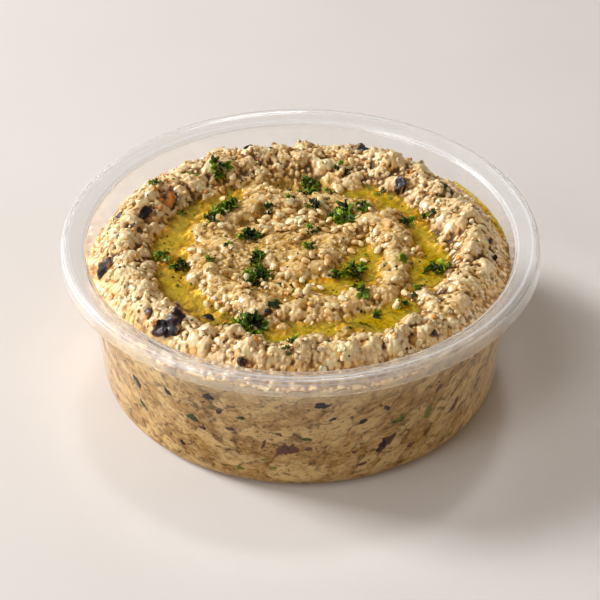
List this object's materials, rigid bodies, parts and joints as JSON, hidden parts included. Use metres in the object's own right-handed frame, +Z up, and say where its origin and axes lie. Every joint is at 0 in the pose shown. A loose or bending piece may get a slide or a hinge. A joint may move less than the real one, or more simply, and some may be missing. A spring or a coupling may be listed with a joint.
{
  "type": "tub of aubergine dip",
  "caption": "Round clear plastic deli tub heaped with a lumpy smoked aubergine dip, its swirled furrows holding olive oil, with dark flakes of aubergine skin on top.",
  "frame": {"origin": "centre of the tub's base, on the surface it stands on", "axes": "+Z up; +Y away from the side that is shown nearest, +X to its right"},
  "size_m": [0.1406, 0.1406, 0.0481],
  "materials": {
    "clear_plastic": "clear, glossy, thin-walled moulded plastic",
    "dip": "moist, coarse mashed aubergine and tahini, beige with tan lumps",
    "olive_oil": "golden oil, mirror-smooth surface",
    "skin_dark": "wet, charred, near-black purple aubergine skin",
    "skin_toasted": "wet, toasted brown aubergine skin",
    "sesame": "toasted sesame seeds, cream with golden edges",
    "parsley": "chopped curly parsley, dark to bright green",
    "pepper": "ground black pepper and char specks"
  },
  "bodies": {
    "root": {"tub": "clear_plastic", "dip": "dip", "oil_left_back": "olive_oil", "oil_left_front": "olive_oil", "oil_front": "olive_oil", "oil_right": "olive_oil", "oil_right_back": "olive_oil", "oil_inner_front": "olive_oil", "oil_inner_right": "olive_oil", "oil_by_wall": "olive_oil", "skin_black_front": "skin_dark", "skin_black_back": "skin_dark", "skin_purple_back": "skin_dark", "skin_purple_rim": "skin_dark", "skin_toasted_left": "skin_toasted", "skin_purple_left": "skin_dark", "skin_black_left": "skin_dark"}
  },
  "joints": []
}
